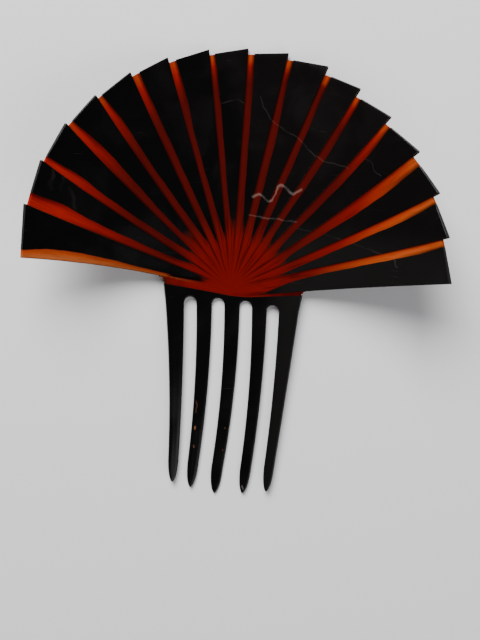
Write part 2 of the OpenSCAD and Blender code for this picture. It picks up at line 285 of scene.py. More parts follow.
def groove_share(k, ring):
    """Share of pleat k that its groove takes, with the slight waver of hand grinding."""
    p = PLEATS[k - 1]
    if ring <= p[TIP]:
        return GROOVE_MAX
    table = [(p[TIP], pleat_width(k, p[TIP]))]
    table += zip(GROOVE_AT, p[GROOVE:])
    reach = ring_reach(k - 1, ring)
    waver = sum(size * sin(reach * pace + k * shift) for size, pace, shift in WAVERS)
    width = curve(reach, table) + waver * smooth(*WAVER_FADE, reach)
    return min(GROOVE_MAX, width / pleat_width(k, ring))


def rise_at(k, ring, share, on_rim=False):
    """How high pleat k has risen at a share of its width."""
    outer = FAN_R if on_rim else ring_reach(k, ring)
    return PLEAT_RISE / FAN_R * share * lerp(ring_reach(k - 1, ring), outer, share)


def rim_ends(k, inset):
    """The ends of pleat k's outer edge, moved inwards."""
    return edge_point(k - 1, low_reach(k - 1) - inset), edge_point(k, FAN_R - inset)


def across_on_bend(p):
    return BEND_R * sin(p[0] / (BEND_R - TRUE_LENGTH_H))


LEFT_REACH = min(across_on_bend(edge_point(0, low_reach(0))),
                 across_on_bend(edge_point(1, FAN_R)))
RIGHT_REACH = across_on_bend(edge_point(PLEAT_COUNT, FAN_R))
TOP_REACH = max(edge_point(k, FAN_R)[1] for k in range(PLEAT_COUNT + 1))
TIP_REACH = max(t[TIP_DOWN] for t in TEETH)
CENTRE_X = (LEFT_REACH + RIGHT_REACH) / 2
CENTRE_Y = (TOP_REACH - TIP_REACH) / 2


def bend(bm):
    """Bends a flat layout to the comb's curve and puts it in metres, in place."""
    for v in bm.verts:
        turn = v.co.x / (BEND_R - TRUE_LENGTH_H)
        r = BEND_R - v.co.z
        v.co = ((r * sin(turn) - CENTRE_X) * MM, (v.co.y - CENTRE_Y) * MM,
                (BEND_R - r * cos(turn)) * MM)


def add_layers(bm):
    """The front face's height, the way in from the outline, and the pattern maps."""
    for name in ("front", "inside"):
        bm.verts.layers.float.new(name)
    for name in ("stripe", "fan"):
        bm.loops.layers.uv.new(name)


def grid_of(columns, rows):
    """A flat grid whose vertices lie at their column and row numbers."""
    bm = bmesh.new()
    bmesh.ops.create_grid(bm, x_segments=columns - 1, y_segments=rows - 1, size=0.5)
    for v in bm.verts:
        v.co.x = round((v.co.x + 0.5) * (columns - 1))
        v.co.y = round((v.co.y + 0.5) * (rows - 1))
    add_layers(bm)
    return bm


def stripe_at(across, reach):
    return CREST + across / STRIPE_SPAN, reach / FAN_R


def lay_out(bm, spots):
    """Moves the vertices of a grid to their spots: place, height, stripe, fan, inside."""
    front, inside = (bm.verts.layers.float[name] for name in ("front", "inside"))
    stripe, fan = (bm.loops.layers.uv[name] for name in ("stripe", "fan"))
    for f in bm.faces:
        for loop in f.loops:
            spot = spots[round(loop.vert.co.x), round(loop.vert.co.y)]
            loop[stripe].uv, loop[fan].uv = spot[2], spot[3]
    for v in bm.verts:
        (v.co.x, v.co.y), v[front], _, _, v[inside] = spots[round(v.co.x), round(v.co.y)]


def join(bm, other):
    """Adds another mesh to this one, and frees it."""
    part = bpy.data.meshes.new("part")
    other.to_mesh(part)
    bm.from_mesh(part)
    other.free()
    bpy.data.meshes.remove(part)


def extrude(bm, faces):
    """Extrudes a region of faces and returns its new vertices."""
    made = bmesh.ops.extrude_face_region(bm, geom=faces)["geom"]
    return [v for v in made if isinstance(v, bmesh.types.BMVert)]


def thicken(bm, low):
    """Lifts a copy of the flat sheet to its front heights, closes the sides and
    returns the faces of the back."""
    front = bm.verts.layers.float["front"]
    back = bm.faces[:]
    for v in bm.verts:
        v.co.z = low
    for v in extrude(bm, back):
        v.co.z = v[front]
    return back


def move_faces(bm, faces, height):
    """Extrudes some faces of the back to another height."""
    for v in extrude(bm, faces):
        v.co.z = height
    bmesh.ops.delete(bm, geom=faces, context="FACES")


def finish_mesh(bm, name, materials, replaced):
    """Bends the piece, makes its object and ties it to the comb. The last of its
    materials goes on the cut walls. With one material only, the walls' edges are sharp."""
    bm.normal_update()
    walls = {f for f in bm.faces if abs(f.normal.z) < WALL_NORMAL_Z}
    for f in walls:
        f.material_index = len(materials) - 1
    bend(bm)
    bmesh.ops.recalc_face_normals(bm, faces=bm.faces[:])
    for f in bm.faces:
        f.smooth = True
    for e in bm.edges:
        at_wall = len(materials) == 1 and sum(f in walls for f in e.link_faces) == 1
        e.smooth = e.calc_face_angle(0) < SHARP and not at_wall
    mesh = bpy.data.meshes.new(name)
    bm.to_mesh(mesh)
    bm.free()
    for material in materials:
        mesh.materials.append(material)
    piece = bpy.data.objects.new(name, mesh)
    bpy.context.scene.collection.objects.link(piece)
    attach(piece, "root")
    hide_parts(replaced)


def black_pleat(k, materials):
    """One black blade: a sloping face with a rounded steep edge and rim, and its lap."""
    tip = PLEATS[k - 1][TIP]
    rings = rings_from(tip)
    rim_round = RIGHT_RIM_ROUND if k >= RIGHT_RIM_FROM else LEFT_RIM_ROUND
    rim_insets = [rim_round * s for s in reversed(ROUND_STEPS)]
    columns, rows = BLADE_STEPS + len(ROUND_STEPS), len(rings) + len(rim_insets)
    spots = {}
    for i in range(rows):
        on_rim = i >= len(rings)
        ring = rings[min(i, len(rings) - 1)]
        inset = rim_insets[i - len(rings)] if on_rim else 0
        ends = rim_ends(k, inset) if on_rim else ring_ends(k, ring)
        w = pleat_width(k, ring)
        left, right = groove_share(k, ring) * w + SIDE_GAP, w - SIDE_GAP
        wall = max(rise_at(k, ring, 1) - GAP, LEAST_WALL)
        radius = min(STEEP_ROUND, BLADE_SHARE * (right - left), WALL_SHARE * wall)
        across_at = [lerp(left, right - radius, c / BLADE_STEPS) for c in range(BLADE_STEPS)]
        across_at += [right - radius * s for s in reversed(ROUND_STEPS)]
        for c, across in enumerate(across_at):
            share = across / w
            reach = lerp(low_reach(k - 1), FAN_R, share) if on_rim else ring
            drop = rounding(right - across, radius)
            drop += rounding(inset, rim_round) if on_rim else 0
            height = max(SHEET_T + 2 * GAP, SHEET_T + rise_at(k, ring, share, on_rim) - drop)
            wear = smooth(tip + TIP_WEAR[0], tip + TIP_WEAR[1], reach)
            spots[c, i] = (between(*ends, share), height, stripe_at(across - left, reach),
                           ((k - 1 + share) / PLEAT_COUNT, wear), 0)
    bm = grid_of(columns, rows)
    lap = [f for f in bm.faces if all(round(v.co.y) >= len(rings) for v in f.verts)]
    lay_out(bm, spots)
    thicken(bm, SHEET_T + GAP)
    move_faces(bm, lap, BACK_MARGIN)
    finish_mesh(bm, f"black_pleat_{k:02d}", materials, f"pleat_{k:02d}")


def strip_columns(radius, edge_steps, crest, w):
    """Places across a pleat of the sheet: its rounded edge if it has one, its groove up
    to the crest, a short step down, and the flat under the black."""
    start = radius if edge_steps else 0
    columns = [radius * s for s in edge_steps]
    columns += [lerp(start, crest, j / GROOVE_STEPS) for j in range(1, GROOVE_STEPS + 1)]
    columns.append(crest + min(STEP_WIDTH, STEP_SHARE * (w - crest)))
    columns += [lerp(crest, w, j / UNDER_STEPS) for j in range(1, UNDER_STEPS + 1)]
    return [0] + columns


def fan_strip(k):
    """The sheet of pleat k: a ramp in the groove, flat under the black."""
    edge_steps = ROUND_STEPS[1:] if k == 1 else []
    crest_column = len(edge_steps) + GROOVE_STEPS
    rings = HUB_RINGS + rings_from(NEXT_RING)
    spots = {}
    for i in range(len(rings) + 1):
        on_rim = i == len(rings)
        ring = rings[min(i, len(rings) - 1)]
        reach = lerp(low_reach(k - 1), FAN_R, 0.5) if on_rim else ring
        w = max(pleat_width(k, ring), LEAST_WIDTH)
        crest = max(groove_share(k, ring) * w, LEAST_GROOVE)
        radius = min(WING_ROUND, GROOVE_SHARE * crest) * smooth(*WING_ROUND_FADE, ring)
        radius = max(radius, LEAST_WIDTH)
        for c, across in enumerate(strip_columns(radius, edge_steps, crest, w)):
            share, groove_part = across / w, min(1, across / crest)
            in_groove = c <= crest_column
            if i == 0:
                p = (0, HUB_UP)
            elif on_rim:
                low = rim_ends(k, SHEET_INSET)[0]
                high = rim_ends(k, GROOVE_END if in_groove else SHEET_INSET)[1]
                p = between(low, high, share)
            else:
                p = between(*ring_ends(k, ring), share)
            height = SHEET_T
            if in_groove and i > 0:
                height += rise_at(k, ring, share, on_rim)
                height -= GROOVE_HOLLOW * sin(pi * groove_part) * reach / FAN_R
                if k == 1:
                    height -= rounding(across, radius)
            spots[c, i] = (p, height, stripe_at(across - crest, reach),
                           ((k - 1 + share) / PLEAT_COUNT, groove_part), 0)
    bm = grid_of(crest_column + UNDER_STEPS + 2, len(rings) + 1)
    lay_out(bm, spots)
    return bm


def fan_sheet():
    sheet = fan_strip(1)
    for k in range(2, PLEAT_COUNT + 1):
        join(sheet, fan_strip(k))
    bmesh.ops.remove_doubles(sheet, verts=sheet.verts[:], dist=FAN_WELD)
    thicken(sheet, 0)
    return sheet


# The tooth block and the teeth, in the flat layout

def through(down, y):
    """A parabola through the values at three depths, for the edges of the teeth."""
    a, b, c = EDGES_AT
    return (y[0] * (down - b) * (down - c) / ((a - b) * (a - c))
            + y[1] * (down - a) * (down - c) / ((b - a) * (b - c))
            + y[2] * (down - a) * (down - b) / ((c - a) * (c - b)))


def slots():
    """Centre across, radius and depth of each slot's round end."""
    return [((a[1] + b[0]) / 2, (b[0] - a[1]) / 2, SLOT_DOWN + drop)
            for a, b, drop in zip(TEETH, TEETH[1:], SLOT_DROPS)]


def tooth_edges(t, down):
    """Left and right edge of a tooth at a depth, with its neck and its point."""
    low = t[TIP_DOWN] - POINT_L
    depth = min(down, low)
    left = through(depth, [t[0], t[2], t[4]])
    right = through(depth, [t[1], t[3], t[5]])
    for cx, r, deep in slots():
        half = sqrt(r ** 2 - max(0, deep - down) ** 2)
        if down < deep and abs(cx + r - t[0]) < TOUCH:
            left = cx + half
        if down < deep and abs(cx - r - t[1]) < TOUCH:
            right = cx - half
    if down > low:
        share = (down - low) / POINT_L
        middle = lerp((left + right) / 2, t[TIP_X], share)
        half = (right - left) / 2 * lookup(share, POINT)
        return middle - half, middle + half
    return left, right


def block_top_at(x):
    return lookup(x, BLOCK_TOP)


def outline_distance(x, down, t=None):
    """How far a point of the plan lies inside the outline of the block or of tooth t."""
    if t is not None:
        left, right = tooth_edges(t, down)
        return min(x - left, right - x, TIP_SLOPE * (t[TIP_DOWN] - down) + TIP_START)
    near = min(hypot(x - cx, max(0, deep - down)) - r for cx, r, deep in slots())
    side = (down + BLOCK_TOP[0][1]) / (BLOCK_BOTTOM + BLOCK_TOP[0][1])
    return min(near, x - lerp(BLOCK_LEFT, TEETH[0][0], side),
               lerp(BLOCK_RIGHT, TEETH[-1][1], side) - x)


def tooth_columns(t, down, inset):
    """Places across a tooth at a depth, closer together at its rounded edges."""
    left, right = tooth_edges(t, down)
    half = (right - left) / 2
    inset = min(inset, INSET_SHARE * half)
    radius = min(TOOTH_ROUND, TOOTH_SHARE * (half - inset))
    steps = [radius * s for s in ROUND_STEPS]
    left, right = left + inset, right - inset
    inner = [lerp(left + radius, right - radius, s) for s in TOOTH_INNER]
    return [left + s for s in steps] + inner + [right - s for s in reversed(steps)]


def block_lower_edge(inset):
    """Points along the block's lower edge: over each tooth and round each slot."""
    points = []
    for t, slot in zip(TEETH, slots() + [None]):
        points += [(x, -SLOT_DOWN) for x in tooth_columns(t, SLOT_DOWN, inset)]
        if slot:
            cx, r, deep = slot
            r += inset
            start = asin((deep - SLOT_DOWN) / r)
            for s in range(1, ARC_STEPS):
                a = lerp(start, pi - start, s / ARC_STEPS)
                points.append((cx - r * cos(a), -deep + r * sin(a)))
    return points


def tine_sheet(inset, lift, low, high, radius):
    """A solid in the plan of the block and teeth, and the faces of its back."""
    whole = bmesh.new()
    add_layers(whole)

    def spot(x, y, t=None, rounded=True):
        inside = outline_distance(x, -y, t)
        height = high - TOOTH_THINNING * -y / TIP_REACH
        if rounded:
            height -= rounding(inside - inset, radius)
        return ((x, y), height, stripe_at(block_top_at(x) - y, hypot(x, y)),
                (MID_TURN + x / BLOCK_SPAN, 0.5), inside)

    # Block
    lower = block_lower_edge(inset)
    left, right = lower[0][0], lower[-1][0]
    spots = {}
    for c, (x0, y0) in enumerate(lower):
        x1 = lerp(BLOCK_LEFT + inset, BLOCK_RIGHT - inset, (x0 - left) / (right - left))
        y1 = block_top_at(x1) + lift
        for i, up in enumerate(BLOCK_ROWS):
            x, y = lerp(x0, x1, up), lerp(y0, y1, up)
            spots[c, i] = spot(x, y, rounded=lift > 0 or y1 - y > TOP_SQUARE)
    bm = grid_of(len(lower), len(BLOCK_ROWS))
    lay_out(bm, spots)
    join(whole, bm)
    # Teeth
    for t in TEETH:
        low_end = t[TIP_DOWN] - POINT_L
        downs = [lerp(SLOT_DOWN, BLOCK_BOTTOM, j / NECK_ROWS) for j in range(NECK_ROWS)]
        downs += [lerp(BLOCK_BOTTOM, low_end, j / TOOTH_ROWS) for j in range(TOOTH_ROWS + 1)]
        downs += [low_end + (POINT_L - inset) * p[0] for p in POINT[1:]]
        spots = {(c, i): spot(x, -down, t) for i, down in enumerate(downs)
                 for c, x in enumerate(tooth_columns(t, down, inset))}
        bm = grid_of(len(tooth_columns(t, SLOT_DOWN, inset)), len(downs))
        lay_out(bm, spots)
        join(whole, bm)
    bmesh.ops.remove_doubles(whole, verts=whole.verts[:], dist=TINE_WELD)
    return whole, thicken(whole, low)


def inner_corner(k, side, away, r):
    """The rounded inner corner between a wing's lower edge and the side of the block."""
    centre = side + away * r
    wing = edge_point(k, abs(centre))[1]
    steps, overlap = 8, 0.4
    spots = {}
    for c in range(steps + 1):
        a = pi / 2 * c / steps
        across, up = cos(a), sin(a)
        far = max(across, up)
        arc = (centre - away * r * across, wing - r + r * up)
        corner = (centre - away * (r + overlap) * across / far,
                  wing - r + (r + overlap) * up / far)
        for i in range(3):
            p = between(arc, corner, i / 2)
            spots[c, i] = (p, SHEET_T - 2 * SKIM, (CORNER_ACROSS, hypot(*p) / FAN_R),
                           (CORNER_TURNS[away], 0.5), 0)
    bm = grid_of(steps + 1, 3)
    lay_out(bm, spots)
    thicken(bm, 2 * SKIM)
    return bm


def black_tine_face(materials):
    bm, back = tine_sheet(0, 0, BACK_MARGIN, SHEET_T + BLACK_T, TOOTH_ROUND)
    inside = bm.verts.layers.float["inside"]
    inner = [f for f in back if all(v[inside] > RIM_LAP - LAP_SLACK for v in f.verts)]
    move_faces(bm, inner, SHEET_T + GAP - TOOTH_THINNING * 0.5)
    finish_mesh(bm, "black_tine_face", materials, "tine_face")


def amber_sheet(material):
    bm = fan_sheet()
    core, _ = tine_sheet(SHEET_INSET, FAN_OVERLAP, SKIM, SHEET_T - SKIM, 0)
    join(bm, core)
    join(bm, inner_corner(0, BLOCK_LEFT, -1, LEFT_FILLET))
    join(bm, inner_corner(PLEAT_COUNT, BLOCK_RIGHT, 1, RIGHT_FILLET))
    finish_mesh(bm, "amber_sheet", [material], "amber_body")


# Finishes

# Colours of the black, its marks, the painted sheen of light reflected on it and its sawn walls,
# and then of the amber sheet, mostly painted as it looks lit through
BLACK, SMUDGED = (0.0016, 0.0013, 0.0013), (0.0027, 0.0021, 0.0021)
SHEEN_GREY, LOW_SHEEN_GREY = (0.0036, 0.0029, 0.0026), (0.0060, 0.0056, 0.0052)
WORN_RED = (0.07, 0.004, 0.002)
SCRATCH, CHIP = (0.20, 0.17, 0.155), (0.22, 0.09, 0.035)
SAWN, SAWN_PALE = (0.0022, 0.0016, 0.0015), (0.0060, 0.0040, 0.0036)
HUB_GLOW = (0.116, 0.0044, 0.0031)
RIM_GLOW, WING_GLOW = (0.270, 0.0290, 0.0058), (0.345, 0.0640, 0.0120)
SHADE, STREAK = (0.016, 0.0012, 0.0010), (0.026, 0.0012, 0.0010)
FILED = (0.030, 0.0020, 0.0015)
LOWEST_UNLIT = (0.020, 0.0020, 0.0012)
FILM = (0.0030, 0.0016, 0.0014)
UNDER_BLACK = (0.022, 0.0026, 0.0014)
SHEET_SCRATCH = (0.24, 0.15, 0.12)

# Over the turn: the reach at which the sheet is half lit from the rim, far in on the
# wings and little at the top, and the span of reach over which that light fades
HALF_LIT = [(0.0, 0.38), (0.07, 0.53), (0.13, 0.69), (0.25, 0.82), (0.4, 0.89), (0.55, 0.93),
            (0.66, 0.955), (0.75, 0.83), (0.82, 0.63), (0.88, 0.46), (1.0, 0.46)]
SOFTNESS = [(0.0, 0.6), (0.07, 0.6), (0.13, 0.42), (0.25, 0.26), (0.4, 0.13), (0.66, 0.09),
            (0.75, 0.3), (0.82, 0.65), (1.0, 0.75)]
# The sheet's colour from unlit to lit, and that of the lowest groove from foot to crest, painted
# as lit through with a painted highlight near its foot
LIT = [(0.0, (0.055, 0.0034, 0.0028)), (0.25, (0.080, 0.0040, 0.0030)),
       (0.5, (0.132, 0.0054, 0.0034)), (0.75, (0.190, 0.0076, 0.0040)),
       (1.0, (0.265, 0.0090, 0.0044))]
LOWEST = [(0.0, (0.110, 0.0460, 0.0250)), (0.1, (0.330, 0.0840, 0.0220)),
          (0.4, (0.340, 0.0760, 0.0180)), (0.7, (0.340, 0.0480, 0.0085)),
          (1.0, (0.240, 0.0300, 0.0080))]
# Noises: scale, detail, roughness, distortion
SMUDGE_NOISE, SCUFF_NOISE, PATCH_NOISE = (55, 3, 0.55, 0.6), (90, 2, 0.5, 0.2), (90, 1)
SHEEN_NOISE, TIP_NOISE, SKIP_NOISE = (30, 2), (420, 3), (190, 1)
BODY_NOISE, SAWN_NOISE, SHEET_NOISE = (48, 2, 0.4), (900, 3, 0.6), (160, 4, 0.6, 0.4)
HAND_NOISE = (330, 1)
# Noises in lines from the hub: pace over the turn and the reach, detail, roughness
FILE_LINES, STREAK_LINES, UNEVEN_LINES = (420, 9, 3, 0.6), (100, 5, 2, 0.6), (40, 4, 1)
# Bumps: strength and distance
BLACK_BUMP, EDGE_BUMP, SHEET_BUMP = (0.1, 0.0004), (0.2, 0.0001), (0.2, 0.0002)
RUBBED_DEPTH = 0.15
# Roughness of the bare finishes, and what their marks and grain add to it
BLACK_ROUGH, SMUDGE_ROUGH, RUBBED_ROUGH = 0.14, 0.10, 0.4
EDGE_ROUGH, EDGE_GRAIN = 0.38, 0.25
SHEET_ROUGH, SHEET_GRAIN = 0.4, 0.2
# Soft fades: from, to, and the values there where they aren't 0 and 1
FADES = {
    # Over noises and places on the comb
    "smudges": (0.42, 0.68), "scuffs": (0.68, 0.76), "scuffed patches": (0.52, 0.66),
    "painted_sheen": (0.014, 0.024), "low sheen up": (0.012, 0.026, 1, 0),
    "low sheen across": (0.008, 0.02), "stroke": (0.1, 1, 1, 0),
    "worn tip": (0.12, 0.6, 1, 0), "skips": (0.35, 0.6, 0.3, 1),
    "file lines": (0.45, 0.7, 0, 0.3), "streaks": (0.5, 0.68, 0, 0.75),
    "hub line": (0.08, 0.5, 1, 0), "uneven": (0.35, 0.6, 0.35, 1),
    "behind the crest": (0.499, 0.512),
    # Over the turn
    "lowest groove": (0.0615, 0.0635, 1, 0), "other grooves": (0.0615, 0.0635),
    "past the left edge": (0.005, 0.03), "past the left wing": (0.12, 0.26),
    "right half": (0.38, 0.46),
    # Over the reach
    "hub": (0.18, 0.34, 1, 0), "rim": (0.92, 0.965), "wing": (0.35, 0.85),
    "lowest start": (0.12, 0.4), "lowest open end": (0.35, 0.9, 0.5, 1),
    "foot start": (0.2, 0.34), "foot end": (0.6, 0.85, 1, 0.1),
    "crest start": (0.72, 0.9, 0.2, 1), "backed start": (0.1, 0.3),
    "streak start": (0.03, 0.12), "streak end": (0.26, 0.4, 1, 0.2),
    "hub line start": (0.05, 0.2), "hub line end": (0.22, 0.34, 0.85, 0),
    "film start": (0.10, 0.15), "film end": (0.27, 0.31, 1, 0),
    # Over the share of a groove, from its foot to its crest
    "foot": (0, 0.36, 0.75, 0), "crest": (0.5, 1, 0, 0.8),
    "toward the crest": (0, 0.9, 0.4, 1), "film": (0.3, 0.55),
}
# Width in millimetres of a pleat at the rim, for the dark lines of the hub
PLEAT_SPAN = 14.6
# How far a drawn mark wavers, in metres
HAND_WAVER = 0.0016
# Turn and stretch of the scuffs, and their strength
SCUFF_TURN, SCUFF_STRETCH, SCUFF_STRENGTH = radians(58), 30, 0.05
# Lean and waver of the painted sheen's edge, and its least strength, which smudges add to
SHEEN_LEAN, SHEEN_WAVER, SHEEN_LEAST = 0.357, 0.004, 0.6
# How unevenly the blades' inner tips are worn, and how much
TIP_UNEVEN, TIP_STRENGTH = 0.3, 0.5
# Waver of the light's edge in the sheet
LIGHT_WAVER = 0.05
# The turn at which the right wing's painted orange glow goes by the reach alone, and how fast it
# moves in toward the hub past that turn
WING_TURN, WING_PACE = 0.94, 2.5


def feed(tree, sockets, values):
    """Links or sets each socket. None leaves it as it is."""
    for socket, value in zip(sockets, values):
        if isinstance(value, bpy.types.NodeSocket):
            tree.links.new(value, socket)
        elif value is not None:
            socket.default_value = (*value, 1) if socket.type == "RGBA" else value


def set_plain(made, **values):
    for label, value in values.items():
        made.inputs[label.replace("_", " ")].default_value = value


def calc(tree, operation, first, *others, clamp=False):
    """One operation on values or sockets, taken from the left over more than two."""
    total = first
    for value in others or [None]:
        made = tree.nodes.new("ShaderNodeMath")
        made.operation = operation
        feed(tree, made.inputs, (total, value))
        total = made.outputs[0]
    made.use_clamp = clamp
    return total


def times(tree, *values):
    return calc(tree, "MULTIPLY", *values)


def vector_calc(tree, operation, *values, scale=None, output="Vector"):
    made = tree.nodes.new("ShaderNodeVectorMath")
    made.operation = operation
    feed(tree, made.inputs, values)
    if scale is not None:
        tree.links.new(scale, made.inputs["Scale"])
    return made.outputs[output]


def fade(tree, value, name):
    """Carries a value over one of the fades."""
    made = tree.nodes.new("ShaderNodeMapRange")
    made.interpolation_type = "SMOOTHSTEP"
    feed(tree, made.inputs, (value, *FADES[name], 0, 1)[:5])
    return made.outputs[0]


def mix(tree, factor, a, b):
    made = tree.nodes.new("ShaderNodeMix")
    made.data_type = "RGBA"
    feed(tree, (made.inputs[0], made.inputs[6], made.inputs[7]), (factor, a, b))
    return made.outputs[2]


def ramp(tree, value, stops):
    made = tree.nodes.new("ShaderNodeValToRGB")
    elements = made.color_ramp.elements
    for place, colour in stops[1:-1]:
        elements.new(place).color = (*colour, 1)
    elements[0].position, elements[0].color = stops[0][0], (*stops[0][1], 1)
    elements[-1].position, elements[-1].color = stops[-1][0], (*stops[-1][1], 1)
    tree.links.new(value, made.inputs[0])
    return made.outputs[0]


def grey_ramp(tree, value, stops):
    """A value that changes straight between the values at some places."""
    return ramp(tree, value, [(place, (v, v, v)) for place, v in stops])


def noise(tree, vector, scale, detail=2.0, roughness=0.5, distortion=0.0):
    made = tree.nodes.new("ShaderNodeTexNoise")
    set_plain(made, Scale=scale, Detail=detail, Roughness=roughness, Distortion=distortion)
    tree.links.new(vector, made.inputs["Vector"])
    return made.outputs[0]


def object_place(tree):
    return tree.nodes.new("ShaderNodeTexCoord").outputs["Object"]


def group_node(tree, group, place):
    """A copy of a node group, over the given coordinates."""
    made = tree.nodes.new("ShaderNodeGroup")
    made.node_tree = group
    tree.links.new(place, made.inputs["Coordinates"])
    return made


def group_of(name, vectors, numbers, outputs):
    """A node group with named vectors and numbers going in, and numbers coming out."""
    group = bpy.data.node_groups.new(name, "ShaderNodeTree")
    for label in vectors:
        group.interface.new_socket(label, in_out="INPUT", socket_type="NodeSocketVector")
    for label in numbers:
        group.interface.new_socket(label, in_out="INPUT", socket_type="NodeSocketFloat")
    for label in outputs:
        group.interface.new_socket(label, in_out="OUTPUT", socket_type="NodeSocketFloat")
    return group, group.nodes.new("NodeGroupInput"), group.nodes.new("NodeGroupOutput")


def make_handling():
    """Smudges, fine scuffs, and the painted sheen of reflected light at the right and low on the
    block's right, over object coordinates.
    """
    group, given, out = group_of("handling", ["Coordinates"], [],
                                 ["Smudges", "Scuffs", "Painted sheen", "Low painted sheen"])
    place = given.outputs["Coordinates"]
    split = group.nodes.new("ShaderNodeSeparateXYZ")
    group.links.new(place, split.inputs[0])
    x, y = split.outputs[0], split.outputs[1]
    smudges = fade(group, noise(group, place, *SMUDGE_NOISE), "smudges")
    turned = group.nodes.new("ShaderNodeMapping")
    set_plain(turned, Rotation=(0, 0, SCUFF_TURN), Scale=(1, SCUFF_STRETCH, 1))
    group.links.new(place, turned.inputs["Vector"])
    scuffs = times(group, fade(group, noise(group, turned.outputs[0], *SCUFF_NOISE), "scuffs"),
                   fade(group, noise(group, place, *PATCH_NOISE), "scuffed patches"))
    lean = calc(group, "ADD", x, times(group, y, SHEEN_LEAN))
    waver = times(group, noise(group, place, *SHEEN_NOISE), SHEEN_WAVER)
    painted_sheen = fade(group, calc(group, "ADD", lean, waver), "painted_sheen")
    low_painted_sheen = times(group, fade(group, y, "low sheen up"), fade(group, x, "low sheen across"))
    feed(group, out.inputs, (smudges, scuffs, painted_sheen, low_painted_sheen))
    return group


def make_stroke():
    """A mask along a swaying line between two places, over object coordinates."""
    group, given, out = group_of("stroke", ["Coordinates", "Start", "Along"],
                                 ["Width", "Sway", "Swings", "Phase"], ["Mask"])
    along = given.outputs["Along"]
    flat = vector_calc(group, "MULTIPLY", given.outputs["Coordinates"], (1, 1, 0))
    away = vector_calc(group, "SUBTRACT", flat, given.outputs["Start"])
    reached = calc(group, "DIVIDE",
                   vector_calc(group, "DOT_PRODUCT", away, along, output="Value"),
                   vector_calc(group, "DOT_PRODUCT", along, along, output="Value"), clamp=True)
    foot = vector_calc(group, "SCALE", along, scale=reached)
    aside = vector_calc(group, "NORMALIZE",
                        vector_calc(group, "CROSS_PRODUCT", (0, 0, 1), along))
    size = times(group, given.outputs["Sway"], calc(group, "SINE", times(group, reached, pi)))
    angle = calc(group, "ADD", given.outputs["Phase"],
                 times(group, reached, given.outputs["Swings"]))
    sway = vector_calc(group, "SCALE", aside,
                       scale=times(group, size, calc(group, "SINE", angle)))
    distance = vector_calc(group, "DISTANCE", vector_calc(group, "SUBTRACT", away, foot), sway,
                           output="Value")
    share = calc(group, "DIVIDE", distance, given.outputs["Width"])
    feed(group, out.inputs, [fade(group, share, "stroke")])
    return group


# Marks of wear in millimetres. A mark leaves its straight line by SWAY at most, in a wave
# of so many TURNS that starts at PHASE.
WIDTH, STRENGTH, FROM, TO, SWAY, TURNS, PHASE = range(7)
SCRATCHES = [
    [1.5, 0.36, (4.1, 28.7), (20.3, 32.7), 2.4, 1.72, 1.2],
    [0.8, 0.14, (3.3, 22.8), (19.1, 21.6), 0.5, 0.7, 3.6],
    [0.7, 0.06, (4.1, 62.3), (15.0, 51.0), 1.9, 0.1, -1.6],
    [0.7, 0.07, (15.0, 51.0), (34.8, 40.9), 2.1, -0.55, 0.5],
    [0.5, 0.10, (40.3, 44.7), (45.1, 39.4), 0.5, 0.8, 0.3],
    [0.7, 0.06, (-9.5, 58.9), (0.6, 59.9), 1.2, 0, 1.6],
    [0.6, 0.05, (20.0, 19.6), (49.7, 13.7), 0.7, 0.5, 0.2],
    [1.8, 0.035, (-60.4, 28.0), (-60.1, 33.6), 0.4, 0.6, 0.4],
    [1.5, 0.025, (-57.8, 27.6), (-57.0, 32.2), 0.3, 0.8, 2.0],
    [1.6, 0.03, (-55.2, 28.3), (-53.5, 22.0), 0.4, 0.5, 1.0],
    [0.8, 0.10, (51.6, 12.9), (52.9, 10.6), 0.3, 0.7, 1.0],
]
# Places where the black is chipped off a tooth, down to the amber
CHIPS = [
    [0.9, 0.8, (-10.5, -53.7), (-10.4, -54.1), 0, 0, 0],
    [0.8, 0.45, (-10.2, -60.5), (-10.2, -60.9), 0, 0, 0],
    [0.6, 0.2, (-10.4, -44.3), (-10.2, -48.3), 0.1, 0.5, 0],
    [0.5, 0.5, (0.5, -53.1), (0.5, -53.3), 0, 0, 0],
    [0.5, 0.4, (0.3, -61.3), (0.3, -61.5), 0, 0, 0],
]
WORN_TOOTH = [[1.1, 0.35, (8.1, -74.3), (8.5, -75.2), 0, 0, 0]]
# The scratches that also cross the amber
SHEET_SCRATCHES = SCRATCHES[:4]


def marks_of(tree, place, stroke, table):
    """Puts the masks of a table of marks together."""
    total = None
    for mark in table:
        (x0, y0), (x1, y1) = mark[FROM], mark[TO]
        made = group_node(tree, stroke, place)
        set_plain(made, Start=(x0 * MM, y0 * MM, 0), Width=mark[WIDTH] * MM / 2,
                  Along=((x1 - x0) * MM, (y1 - y0) * MM, 0), Sway=mark[SWAY] * MM,
                  Swings=2 * pi * mark[TURNS], Phase=mark[PHASE])
        mask = times(tree, made.outputs[0], mark[STRENGTH])
        total = mask if total is None else calc(tree, "MAXIMUM", total, mask)
    return total


def unsteady(tree, place):
    """Object coordinates that waver a little, for marks that no hand draws straight."""
    waver = noise(tree, place, *HAND_NOISE).node.outputs["Color"]
    moved = vector_calc(tree, "MULTIPLY_ADD", waver, (HAND_WAVER, HAND_WAVER, 0),
                        (-HAND_WAVER / 2, -HAND_WAVER / 2, 0))
    return vector_calc(tree, "ADD", place, moved)


def material_of(name):
    material = bpy.data.materials.new(name)
    material.use_nodes = True
    tree = material.node_tree
    return material, tree, tree.nodes["Principled BSDF"]


def uv(tree, name):
    made = tree.nodes.new("ShaderNodeUVMap")
    made.uv_map = name
    split = tree.nodes.new("ShaderNodeSeparateXYZ")
    tree.links.new(made.outputs[0], split.inputs[0])
    return split.outputs[0], split.outputs[1]


def add_bump(tree, shader, height, strength, distance):
    bump = tree.nodes.new("ShaderNodeBump")
    set_plain(bump, Strength=strength, Distance=distance)
    tree.links.new(height, bump.inputs["Height"])
    tree.links.new(bump.outputs[0], shader.inputs["Normal"])


